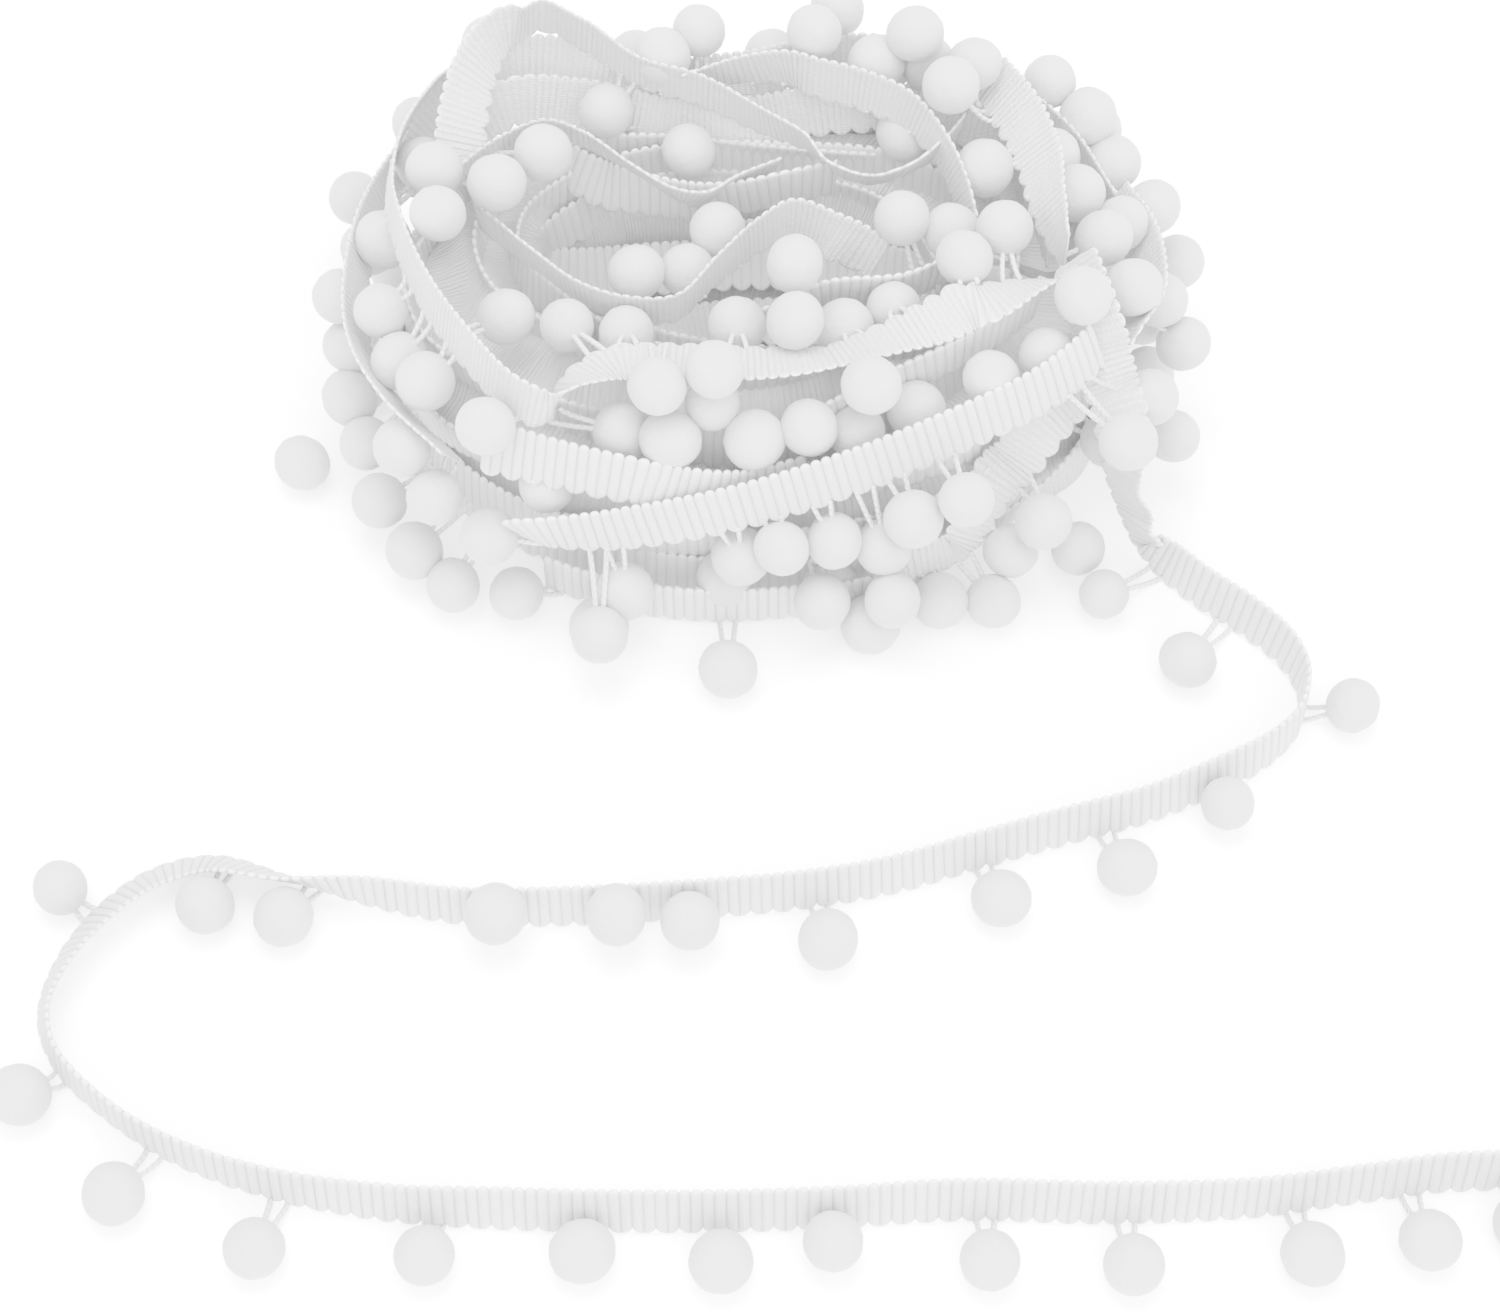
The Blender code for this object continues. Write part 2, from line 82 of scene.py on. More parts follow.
# The oval of the heap: middle x, middle y, half length, half depth
OUTER_OVAL = (1.0, 60.5, 71.0, 47.5)
INNER_OVAL = (-2.0, 71.0, 36.0, 17.0)
OVAL_FULLNESS = 0.9           # 1 is a plain ellipse, and less fills its corners

# The turns wound inside the heap: height of the fringed edge, share of the way out
TURNS = (
    (0.5, 0.95), (10.0, 0.93), (19.5, 0.86), (27.0, 0.72), (27.5, 0.36), (19.5, 0.42), (10.0, 0.50),
    (0.5, 0.50), (0.5, 0.08), (10.0, 0.06), (19.5, 0.10), (27.0, 0.20))
TURN_ROWS = 20                # rows in one turn
TURN_WAVE = 1.4

# Section of the trim packed inside the heap, from the hole's floor over the top to the outside:
# share of the way out, height
CORE_SECTION = (
    (-0.54, 0.5), (-0.54, 3.0), (-0.10, 4.0), (0.02, 10.0), (0.06, 20.0), (0.12, 28.0), (0.24, 31.0),
    (0.38, 33.0), (0.52, 31.5), (0.66, 32.0), (0.78, 28.0), (0.86, 22.0), (0.88, 12.0), (0.88, 0.5))
CORE_STEPS = 120

# The loose end: x, y, height of the fringed edge, lean
TAIL_ROWS = (
    (54.5, 52, 47, 40), (57, 40, 44.5, 62), (58.5, 36.5, 40, 75), (60, 33.5, 36, 70), (62, 31.5, 30, 45),
    (65.5, 27.5, 18, -15), (68.5, 26, 10, -25), (72, 23.5, 2.5, -5), (76, 18, 0.6, 11), (83, 10.5, 0.6, 14),
    (90.5, 4.5, 0.6, 13), (96.5, -1.5, 0.6, 10), (99.5, -7, 0.6, 5), (100, -12, 0.6, 0),
    (98.5, -17.5, 0.6, -4), (93, -23.5, 0.6, -8), (84, -29, 0.6, -12), (71, -35, 0.6, -12),
    (56, -39.5, 0.6, -12), (40, -44.5, 0.6, -12), (24, -49.5, 0.6, -12), (7, -52.5, 0.6, -12),
    (-12, -54.2, 0.6, -12), (-32, -55.4, 0.6, -12), (-50, -55.2, 0.6, -10), (-66, -51.8, 0.6, -2),
    (-80, -46.5, 0.6, 28), (-94, -42, 0.6, 42), (-105, -44.5, 0.6, 46), (-113, -51, 0.6, 44),
    (-119.5, -61.5, 0.6, 36), (-121.5, -73, 0.6, 23), (-117.5, -82.5, 0.6, 9), (-107, -92.3, 0.6, 3),
    (-94, -100.3, 0.6, 5), (-78, -106, 0.6, 8), (-60, -109.5, 0.6, 13), (-40, -111, 0.6, 18),
    (-15, -111.5, 0.6, 18), (10, -111, 0.6, 18), (35, -109.5, 0.6, 18), (60, -110, 0.6, 18),
    (82, -109, 0.6, 16), (100, -106.5, 0.6, 15), (115, -104.5, 0.6, 15), (135, -104.5, 0.6, 16),
    (158, -108, 0.6, 20))

# Its pompoms: x, y, height of the middle, diameter
TAIL_POMPOMS = (
    (65.3, 10.3, 5.3, 9.4), (79.6, -4, 5.3, 10.5), (108.6, -13.7, 5.3, 9.9), (84.1, -34.5, 6.5, 9.5),
    (65.7, -46.6, 5.3, 10.3), (43.5, -52.7, 5.4, 10.5), (13.4, -60.6, 5.4, 10.6), (-10.3, -58.4, 8, 10.7),
    (-22.9, -58, 9.5, 10.6), (-43.6, -57.8, 9.5, 10.6), (-80.5, -56.2, 5.3, 10.4), (-94.2, -54, 5.3, 10.2),
    (-119.7, -50.6, 5.3, 9.7), (-121.7, -89.4, 5.4, 10.6), (-104, -106.8, 5.4, 10.5),
    (-80.2, -116.1, 5.3, 10),
    (-52.6, -117.3, 5.3, 10.1), (-27.1, -116.7, 5.4, 10.7), (-4.7, -118.4, 5.4, 10.6),
    (13.4, -115.4, 6.5, 10.3),
    (38.7, -118.1, 5.3, 10.2), (61.9, -118.9, 5.4, 10.5), (90.9, -117.1, 5.4, 10.4),
    (110.2, -114.7, 5.3, 10.2),
    (126, -112, 5.3, 10.4), (150.6, -115.7, 5.3, 10.4))

# The heap's upper turns: the line that the rows follow, then x, y, height, lean
UPPER_TURNS = {
    "tall_loop": ("foot", (
        (-49.5, 76.5, 41.5, 64), (-49, 86.5, 46, 60), (-48, 95, 48, 46), (-46.5, 103, 47.5, 22),
        (-44.5, 108, 46.5, -6), (-39.5, 111.5, 46.5, -8), (-31, 107.5, 45, -5), (-20.5, 100.5, 43, -8),
        (-9, 96.5, 42, -6), (2.5, 90.5, 41, -12), (11.5, 86, 41, -22), (16.5, 82, 39.5, -30),
        (22.5, 80.5, 38.5, -32), (28, 81.5, 39.5, -30), (32.5, 84, 39.5, -20), (38.5, 89.5, 38, -5))),
    "outer_loop": ("middle", (
        (-50, 106, 40, 20), (-58, 102, 43, 24), (-62.5, 93, 45.5, 22), (-65.5, 82, 47, 16),
        (-66, 70, 47.5, 12),
        (-63.5, 59.5, 49, 11), (-61, 52.5, 49, 11), (-56, 42.5, 49, 11), (-49, 32, 49, 11),
        (-42.5, 24, 49, 11),
        (-38, 21, 48.5, 10), (-35, 21, 48, -5), (-31, 26, 49, -50), (-23.5, 31, 48, -75),
        (-16, 31.5, 48, -75),
        (-0.5, 31, 48, -72), (9, 31.5, 48, -65), (14.5, 32.5, 48, -60), (26.5, 37, 48.5, -75),
        (33.5, 40, 49, -92), (38.5, 42.5, 49.5, -98), (41.5, 43, 50, -85), (48, 46, 50, -60),
        (53.5, 48, 50, -40))),
    "back_wave": ("top", (
        (-60, 68, 44, 10), (-53, 77, 48, 0), (-46, 83, 49, -5), (-38, 87, 49, -10), (-31, 85, 48, -15),
        (-22, 78, 47, -25), (-14, 73, 46, -28), (-8, 73, 45, -28), (-2, 78, 44, -25), (6, 83, 43, -20))),
    "inner_wave": ("top", (
        (-52, 80, 44, -8), (-51, 71, 46, -8), (-45, 64, 46, -10), (-39, 58, 46, -10), (-31, 51, 46, -10),
        (-22, 47.5, 46, -10), (-13, 48, 46, -10), (-6, 56, 47, -5), (1, 63.5, 48, 0), (8, 68.5, 48, 8),
        (16, 66, 47, 15), (22, 65, 44, 20), (25.5, 62, 43, 20))),
    "inner_back": ("foot", (
        (-39.5, 91, 33, 10), (-34, 84, 32, 20), (-28, 81, 31, 20), (-20, 79.5, 31, 8),
        (-10.5, 78.5, 31, 0), (-1.5, 79, 32, -5), (7, 80.5, 33, -5), (16, 83, 33, -5))),
    "back_top": ("top", (
        (-13, 96, 51, -28), (-2, 99, 53, -12), (7, 98.5, 55, -3), (13, 96.5, 55, 5), (21.5, 93.5, 55, 6),
        (30, 89, 54, 5), (36.5, 80.5, 51.5, 5), (40, 72.5, 48.5, 5), (42, 65, 44.5, 5))),
    "right_over": ("middle", (
        (44.5, 98, 48.5, 45), (49.5, 87.5, 50, 52), (53, 76, 50, 46), (54, 66.5, 50, 32),
        (55.5, 60, 49, 15), (57, 55, 49, 0))),
    "front_long": ("middle", (
        (-42, 12, 23.5, -25), (-37, 10, 25.5, -8), (-24, 9, 28, 8), (-3, 10, 33, 15), (18, 15, 37, 17),
        (38, 22, 41, 18), (50, 27.5, 43, 20),
        (57, 32.5, 44, 22), (62, 37.5, 44.5, 24))),
    "front_left": ("foot", (
        (-48, 17, 34.5, 35), (-35, 14, 34, 22), (-22.5, 11.5, 33, 18), (-12.5, 11, 30.5, 15),
        (-2, 12.5, 28, 12), (9.5, 17, 26.5, 10))),
    "front_foot": ("foot", (
        (-38, 15, 0.5, 0), (-28, 11, 0.5, 0), (-17, 8.5, 0.5, 0), (-5, 7.5, 0.5, 0), (9, 8.5, 0.5, 0),
        (18, 9.5, 0.5, 0), (32, 14, 0.5, 0))),
    "right_low": ("foot", (
        (23.5, 11, 5, 5), (29.5, 12, 7, 5), (39.5, 15.5, 9, 5), (44, 18.5, 13.5, 18), (48.5, 22, 19.5, 38),
        (52, 23.5, 24, 45), (56, 27, 28.5, 43), (61, 32.5, 31, 36))),
    "middle_edge": ("top", (
        (2, 47.5, 42, -10), (13, 51.5, 45, -10), (28, 53.5, 45, -10), (36, 57.5, 45, -10),
        (42, 61.5, 44, -10))),
    "under_front": ("middle", (
        (14, 26.5, 38, -5), (26, 32, 41, -5), (38, 37.5, 43, -5), (48, 45, 43, -5), (52, 49.5, 42.5, -5))),
    "right_back": ("middle", (
        (68, 80, 34, 40), (72, 70, 36, 35), (73, 60, 38, 35), (72, 52, 39, 38), (68, 45, 39, 38),
        (64, 39, 35, 35))),
    "back_wall": ("foot", (
        (-64, 84, 30, 10), (-58, 96, 36, 15), (-48, 105, 38, 20), (-34, 106, 37, 25), (-18, 102, 36, 25),
        (0, 102, 38, 22), (18, 105, 40, 18), (34, 103, 40, 10), (50, 98, 37, 0), (61, 89, 35, -5),
        (68, 76, 33, -5))),
    "back_wall_low": ("foot", (
        (-53, 84, 34, 20), (-46, 96, 36, 25), (-33, 98, 34, 30), (-16, 94, 33, 35), (0, 93, 34, 35),
        (16, 95, 36, 30), (32, 94, 37, 25), (45, 88, 37, 15), (52, 76, 36, 5), (55, 62, 36, 0))),
    "hole_low": ("middle", (
        (-50, 57, 20, 30), (-37, 62, 12, 50), (-22, 68, 8, 70), (-6, 72, 7, 80), (10, 72, 8, 75),
        (26, 68, 12, 55),
        (40, 63, 20, 35))),
    "hole_back": ("middle", (
        (-44, 74, 20, 35), (-32, 77, 16, 45), (-18, 81, 13, 60), (0, 83, 12, 65), (16, 81, 14, 55),
        (30, 76, 17, 40),
        (42, 72, 22, 30))),
    "left_wall": ("foot", (
        (-52, 24, 28, 30), (-62, 34, 30, 30), (-69, 46, 30, 25), (-71, 60, 30, 20), (-70, 74, 30, 15),
        (-65, 88, 30, 10), (-56, 99, 31, 5))),
}

# Where the basket-woven back of the ribbon shows: share of the strand's length, from and to
WOVEN = {
    "outer_loop": (0.0, 1.0), "right_over": (0.0, 1.0), "right_low": (0.0, 1.0), "right_back": (0.0, 1.0),
    "tall_loop": (0.0, 1.0), "back_top": (0.0, 1.0), "inner_wave": (0.0, 1.0), "back_wave": (0.0, 1.0),
    "back_wall": (0.0, 1.0), "back_wall_low": (0.0, 1.0), "left_wall": (0.0, 1.0), "hole_low": (0.0, 1.0),
    "loose_end": (0.0, 0.075)}

# The heap's pompoms that show, by region: x, y, height of the middle
HEAP_POMPOMS = {
    "front": (
        (-16, 23, 52), (-6, 25, 53), (8, 50, 52), (8, 38, 50), (21, 25, 50), (17, 43.5, 42), (-12, 18, 42),
        (-8, 23, 44), (-22, 25, 38), (2, 19, 40), (10, 22, 42), (18, 27, 38), (29, 30, 38), (44, 28, 46)),
    "inner": (
        (-46, 69, 52), (-44, 46, 42), (-33, 44, 42), (-20, 58, 40), (-12, 60, 38), (-6, 68, 40),
        (-38, 78, 50), (-56, 60, 54), (-57, 73, 50), (-26, 95.5, 38), (-11, 91.5, 38), (-49.5, 109.5, 44)),
    "back": (
        (-14, 100.5, 48), (-11, 106, 48), (12.5, 104.5, 54), (16, 109.5, 50), (30.5, 100.5, 54),
        (26, 100.5, 50), (33, 101, 50), (37, 89, 56), (42.5, 98, 50), (28, 92, 38), (51.5, 97.5, 40)),
    "between": (
        (4, 105.5, 44), (22, 104, 45), (-22, 111, 40), (54, 98, 44), (57, 84, 42), (70, 70, 38),
        (61, 74, 42), (-60, 84, 42), (-62, 98, 38), (-70, 68, 36), (-58, 33, 40), (-22, 44, 38),
        (-2, 44, 40),
        (26, 48, 42), (54, 36, 42), (-36, 20, 30), (70, 50, 44)),
    "right": (
        (44, 78, 46), (27, 63, 44), (38, 62, 44), (46, 60, 50), (39, 50, 50), (65, 63, 44), (59, 42, 53),
        (61, 91, 42), (65.5, 96.5, 36), (74, 77.5, 36), (65.5, 87, 38), (67, 21, 38), (82, 77, 20),
        (81, 54, 24), (79, 40, 14), (76, 58, 32), (73, 37, 30)),
    "low_right": (
        (38, 10, 36), (29, 10, 30), (53, 15, 22), (46, 15, 10), (61, 20, 6), (35, 9, 6), (45, 10, 6),
        (23, 11, 18), (24.5, 3.5, 11), (23, 3.5, 5.3), (14.5, 10.5, 5.3), (13, 5, 12)),
    "low_front": (
        (-4, -6, 5.3), (-1, 9, 20), (7, 8, 26), (15, 9, 24), (-27, -2.5, 12), (-27.5, 3, 5.3),
        (-22, 7, 12), (-43, 10, 6), (-55, 12, 6), (-62, 18, 8), (-46, 12, 22), (-57, 19, 24), (-69, 28, 10)),
    "left": (
        (-46, 18.4, 46.3), (-64, 40, 36), (-67, 49, 40), (-73, 60, 30), (-77, 93, 20), (-73, 77, 24),
        (-85, 40, 5.3), (-75, 47, 16), (-72, 39, 14), (-62, 27, 30), (-75, 55.5, 22)),
}

# Across the ribbon, from the fringed edge to the plain one: place, half thickness, how far it scallops
ACROSS = (
    (0.00, 0.22, 1.00, 0.00), (0.045, 0.48, 0.95, 0.00), (0.13, 0.42, 0.60, 0.00), (0.36, 0.52, 0.12, 0.00),
    (0.64, 0.52, 0.00, 0.12), (0.87, 0.42, 0.00, 0.60), (0.955, 0.48, 0.00, 0.95), (1.00, 0.22, 0.00, 1.00))
RIB_PLACES = (0.0, 0.12, 0.36, 0.64, 0.88)      # sections in one rib, the groove first


class TrimSettings(bpy.types.PropertyGroup):
    rib_pitch: bpy.props.FloatProperty(
        name="Rib pitch", description="Distance from one cross rib to the next", default=0.00193,
        unit="LENGTH")
    rib_height: bpy.props.FloatProperty(
        name="Rib height", description="How far the ribs stand over the grooves", default=0.00042,
        unit="LENGTH")
    scallop: bpy.props.FloatProperty(
        name="Scallop", description="Depth of the fringed edge's scallops", default=0.0013, unit="LENGTH")
    pompom_diameter: bpy.props.FloatProperty(
        name="Pompom diameter", description="Diameter of one pompom", default=0.0105, unit="LENGTH")
    yarn_diameter: bpy.props.FloatProperty(
        name="Yarn diameter", description="Thickness of the yarn in the loops", default=0.001, unit="LENGTH")
    loop_width: bpy.props.FloatProperty(
        name="Loop width", description="Distance between a loop's yarns at the ribbon", default=0.0032,
        unit="LENGTH")
    ribbon_colour: bpy.props.FloatVectorProperty(
        name="Ribbon colour", description="Colour of the ribbon", default=(0.76, 0.76, 0.76),
        subtype="COLOR")
    pompom_colour: bpy.props.FloatVectorProperty(
        name="Pompom colour", description="Colour of the pompoms", default=(0.59, 0.59, 0.59),
        subtype="COLOR")


class Socket:
    """A shader value that can be used in a Python expression, which adds its Math nodes."""

    def __init__(self, tree, output):
        self.tree = tree
        self.output = output

    def node(self, kind, settings=(), values=()):
        """A node of any type, with its settings made first and its sockets then filled."""
        made = self.tree.nodes.new(kind)
        for name, value in dict(settings).items():
            setattr(made, name, value)
        for name, value in dict(values).items():
            if isinstance(value, Socket):
                self.tree.links.new(value.output, made.inputs[name])
            else:
                made.inputs[name].default_value = value
        return made

    def math(self, operation, first, second=0.0):
        made = self.node("ShaderNodeMath", {"operation": operation}, {0: first, 1: second})
        return Socket(self.tree, made.outputs[0])

    def __add__(self, other):
        return self.math("ADD", self, other)

    def __sub__(self, other):
        return self.math("SUBTRACT", self, other)

    def __mul__(self, other):
        return self.math("MULTIPLY", self, other)

    def __truediv__(self, other):
        return self.math("DIVIDE", self, other)

    def __rsub__(self, other):
        return self.math("SUBTRACT", other, self)

    __radd__ = __add__
    __rmul__ = __mul__

    def sine(self):
        return self.math("SINE", self)

    def size(self):
        return self.math("ABSOLUTE", self)

    def power(self, other):
        return self.math("POWER", self, other)


def cloth_material(name, colour, roughness):
    """A white cloth material, its shader, and a socket from which its nodes are made."""
    material = bpy.data.materials.new(name)
    material.use_nodes = True
    tree = material.node_tree
    shader = tree.nodes["Principled BSDF"]
    shader.inputs["Base Color"].default_value = (*colour, 1.0)
    shader.inputs["Roughness"].default_value = roughness
    shader.inputs["Specular IOR Level"].default_value = 0.2
    return material, shader, Socket(tree, None)


def shade_and_bump(start, shader, colour, shade, height, distance):
    """Colour times shade, and a bump from height, on the shader."""
    grey = start.node("ShaderNodeMix", {"data_type": "RGBA", "blend_type": "MULTIPLY"},
                      {"Factor": 1.0, 6: (*colour, 1.0)})
    start.tree.links.new(shade.output, grey.inputs[7])
    start.tree.links.new(grey.outputs[2], shader.inputs["Base Color"])
    bump = start.node("ShaderNodeBump", (), {"Height": height, "Distance": distance, "Strength": 1.0})
    start.tree.links.new(bump.outputs["Normal"], shader.inputs["Normal"])


def ribbon_material(colour, pitch):
    """Cross ribs of fine threads, or a basket weave where the back shows: painted shade in grooves and gaps,
    a painted highlight on the edges.
    """
    material, shader, start = cloth_material("ribbed_ribbon", colour, 0.85)
    shader.inputs["Sheen Weight"].default_value = 0.15
    place = start.node("ShaderNodeUVMap", {"uv_map": "laid_flat"})
    parts = start.node("ShaderNodeSeparateXYZ")
    start.tree.links.new(place.outputs["UV"], parts.inputs[0])
    along = Socket(start.tree, parts.outputs["X"])
    across = Socket(start.tree, parts.outputs["Y"])
    woven = Socket(start.tree, start.node("ShaderNodeAttribute", {"attribute_name": "woven"}).outputs["Fac"])
    speck = start.node("ShaderNodeTexNoise", (), {"Scale": 1.3, "Detail": 3.0})
    start.tree.links.new(place.outputs["UV"], speck.inputs["Vector"])
    noise = Socket(start.tree, speck.outputs["Fac"])
    rib = (along * (math.pi / (pitch / MM))).sine().size()
    painted_groove_shade = (1.0 - rib).power(3.0)
    threads = (along * (2 * math.pi / 0.31) + noise * 3.0).sine() * 0.5 + 0.5
    lines = (along * (math.pi / 1.15) + noise * 1.5).sine().size()
    grain = (along * (math.pi / 0.6)).sine() * (across * (math.pi / 0.5) + noise * 3.0).sine()
    basket = lines * 0.6 + grain.size() * 0.4
    face = threads * 0.30 + noise * 0.45
    rough = basket * 1.3 + noise * 0.9
    height = face * (1.0 - woven) + rough * woven
    # a painted highlight: lighter along both edges of the ribbon
    edge = (across * (2 / RIBBON_WIDTH) - 1.0).size().power(16.0)
    # painted shade: darker in the rib grooves and between the basket weave's threads
    shade = 0.93 - painted_groove_shade * (1.0 - woven) * 0.22 - (1.0 - basket) * woven * 0.16 + edge * 0.07
    # painted shade between the fine threads of the ribs, and a tone that varies a little at random
    shade = shade - (1.0 - threads) * (1.0 - woven) * 0.05 + (noise - 0.5) * 0.06
    shade_and_bump(start, shader, colour, shade, height, 0.00022)
    return material


def pompom_material(colour):
    """Dense velvety pile: a fine soft grain whose tone varies a little, with painted shade in the hollows
    between the tufts.
    """
    material, shader, start = cloth_material("pompom_pile", colour, 0.95)
    shader.inputs["Sheen Weight"].default_value = 0.25
    place = start.node("ShaderNodeTexCoord")
    grains = []
    for scale, detail in ((420.0, 2.0), (2600.0, 3.0)):
        grain = start.node("ShaderNodeTexNoise", (), {"Scale": scale, "Detail": detail})
        start.tree.links.new(place.outputs["Object"], grain.inputs["Vector"])
        grains.append(Socket(start.tree, grain.outputs["Fac"]))
    soft, pile = grains
    # painted shade: the hollows of the bump's grain are a little darker than its tufts
    shade = 0.985 + (pile - 0.5) * 0.05 + (soft - 0.5) * 0.03
    shade_and_bump(start, shader, colour, shade, pile * 0.6 + soft * 0.5, 0.00025)
    return material


def yarn_material(colour):
    """Soft yarn of a few twisted plies, with painted shade between the plies."""
    material, shader, start = cloth_material("loop_yarn", colour, 0.9)
    shader.inputs["Sheen Weight"].default_value = 0.15
    place = start.node("ShaderNodeUVMap", {"uv_map": "laid_flat"})
    parts = start.node("ShaderNodeSeparateXYZ")
    start.tree.links.new(place.outputs["UV"], parts.inputs[0])
    along = Socket(start.tree, parts.outputs["X"])
    around = Socket(start.tree, parts.outputs["Y"])
    ply = ((along * (2 * math.pi / 1.4) + around * (2 * math.pi)).sine() * 0.5 + 0.5).power(0.6)
    # painted shade: darker in the valleys between the plies, lighter on their crests
    shade = 0.93 + ply * 0.07
    shade_and_bump(start, shader, colour, shade, ply, 0.0002)
    return material


def unit(vectors):
    """The vectors, each made one long."""
    return vectors / np.linalg.norm(vectors, axis=-1, keepdims=True)


def smooth_rows(rows, step):
    """Even distances along a smooth curve through the rows, and the rows' values there."""
    rows = np.array(rows, float)
    chord = np.linalg.norm(np.diff(rows[:, :3], axis=0), axis=1) ** 0.5
    knot = np.concatenate([[0.0], np.cumsum(chord)])
    slope = np.gradient(rows, knot, axis=0)
    fine = np.linspace(0.0, knot[-1], 40 * len(rows))
    i = np.clip(np.searchsorted(knot, fine, side="right") - 1, 0, len(knot) - 2)
    span = (knot[i + 1] - knot[i])[:, None]
    t = (fine - knot[i])[:, None] / span
    curve = ((2 * t**3 - 3 * t**2 + 1) * rows[i] + (t**3 - 2 * t**2 + t) * span * slope[i]
             + (3 * t**2 - 2 * t**3) * rows[i + 1] + (t**3 - t**2) * span * slope[i + 1])
    length = np.linalg.norm(np.diff(curve[:, :3], axis=0), axis=1)
    distance = np.concatenate([[0.0], np.cumsum(length)])
    if isinstance(step, float):
        count = max(2, int(round(distance[-1] / step)) + 1)
        along = np.linspace(0.0, distance[-1], count)
    else:
        along = step[step < distance[-1]]
    return along, np.stack([np.interp(along, distance, curve[:, k]) for k in range(4)], axis=1)


def lay_ribbon(line, rows, step):
    """Distances, fringed edge, top edge, right-hand direction and run of a ribbon laid through rows."""
    along, spots = smooth_rows(rows, step)
    run = unit(np.gradient(spots[:, :3], along, axis=0))
    left = unit(np.cross([0.0, 0.0, 1.0], run))
    lift = np.cross(run, left)
    lean = np.radians(spots[:, 3])[:, None]
    rise = left * np.sin(lean) + lift * np.cos(lean)
    below = {"foot": 0.0, "middle": 0.5, "top": 1.0}[line] * RIBBON_WIDTH
    foot = spots[:, :3] - rise * below
    return along, foot, foot + rise * RIBBON_WIDTH, -left, run


def ring_spot(angle, share):
    """A place in plan: share 0 lies on the hole's oval, and share 1 on the heap's outer oval."""
    spot = []
    for k, turn in enumerate((math.cos(angle), math.sin(angle))):
        turn = math.copysign(abs(turn) ** OVAL_FULLNESS, turn)
        inside = INNER_OVAL[k] + INNER_OVAL[k + 2] * turn
        outside = OUTER_OVAL[k] + OUTER_OVAL[k + 2] * turn
        spot.append(inside + share * (outside - inside))
    return spot


def wound_rows():
    """Rows of the turns inside the heap, as one winding that passes from turn to turn."""
    rows = []
    for turn, (height, share) in enumerate(TURNS):
        following = TURNS[(turn + 1) % len(TURNS)]
        for k in range(TURN_ROWS):
            angle = 2 * math.pi * k / TURN_ROWS
            blend = max(0.0, 4.0 * k / TURN_ROWS - 3.0) if turn < len(TURNS) - 1 else 0.0
            x, y = ring_spot(angle, share + blend * (following[1] - share))
            sway = TURN_WAVE * math.sin(3 * angle + 1.7 * turn) + 0.6 * math.sin(5 * angle + turn)
            level = height + blend * (following[0] - height)
            dip = 0.0 if height < 1.0 else 0.9 * math.sin(2 * angle + 2.3 * turn)
            lean = 12.0 * math.sin(2 * angle + 1.3 * turn)
            rows.append((x + sway * math.cos(angle), y + sway * math.sin(angle), level + dip, lean))
    return rows


def strands():
    """Every laid stretch of ribbon: its name, the line that its rows follow, and the rows."""
    found = {"loose_end": ("foot", TAIL_ROWS)}
    found.update(UPPER_TURNS)
    found["wound"] = ("foot", wound_rows())
    return found


def settle(spots, held, diameter):
    """Move pompoms a little until they are clear of the ribbon, the floor and each other."""
    surface = []
    for line, rows in strands().values():
        _, foot, top, _, _ = lay_ribbon(line, rows, 2.0)
        surface += [foot + (top - foot) * share for share in (0.0, 0.25, 0.5, 0.75, 1.0)]
    surface = np.concatenate(surface)
    middles = np.array(spots, float)
    start = middles.copy()
    held = np.array(held, float)
    for _ in range(SETTLE_ROUNDS):
        for k in range(len(middles)):
            away = middles[k] - surface
            gap = np.linalg.norm(away, axis=1)
            near = gap < 0.5 * diameter
            if near.any():
                way = away[near] / np.maximum(gap[near], 0.3)[:, None]
                push = way * (0.5 * diameter - gap[near])[:, None]
                middles[k] += 0.5 * push[np.argmax(np.linalg.norm(push, axis=1))]
            others = np.concatenate([np.delete(middles, k, axis=0), held])
            away = middles[k] - others
            gap = np.linalg.norm(away, axis=1)
            near = gap < POMPOM_CROWDING * diameter
            if near.any():
                way = away[near] / np.maximum(gap[near], 0.3)[:, None]
                push = way * (POMPOM_CROWDING * diameter - gap[near])[:, None]
                middles[k] += 0.35 * push.sum(axis=0)
            moved = middles[k] - start[k]
            reach = np.linalg.norm(moved)
            if reach > SETTLE_REACH:
                middles[k] = start[k] + moved * SETTLE_REACH / reach
            middles[k][2] = max(middles[k][2], 0.5 * diameter)
    return middles


def core_piece(name):
    """The trim packed inside the heap, as one lumpy ring around the open hole."""
    angles = np.linspace(0.0, 2 * math.pi, CORE_STEPS, endpoint=False)
    corners, flat = [], []
    for angle in angles:
        for row, (share, height) in enumerate(CORE_SECTION):
            x, y = ring_spot(angle, share)
            swell = 1.3 * math.sin(5 * angle + 1.7 * row) + 0.7 * math.sin(11 * angle + row)
            lump = 1.5 * math.sin(7 * angle + 2.3 * row) * min(1.0, height / 10.0)
            drop = 1.0 - 0.14 * max(0.0, -math.sin(angle)) * (1.0 if share > 0.45 else 0.0)
            corners.append((x + swell * math.cos(angle), y + swell * math.sin(angle), height * drop + lump))
            flat.append((angle * 55.0, 5.0 + row * 0.4))
    rows = len(CORE_SECTION)
    index = np.arange(CORE_STEPS * rows).reshape(CORE_STEPS, rows)
    ahead = np.roll(index, -1, axis=0)
    quads = np.stack([index, ahead, np.roll(ahead, -1, axis=1), np.roll(index, -1, axis=1)], axis=2)
    weave = np.ones(len(corners))
    return make_piece(name, np.array(corners), quads.reshape(-1, 4)[:, ::-1].tolist(), np.array(flat), weave)


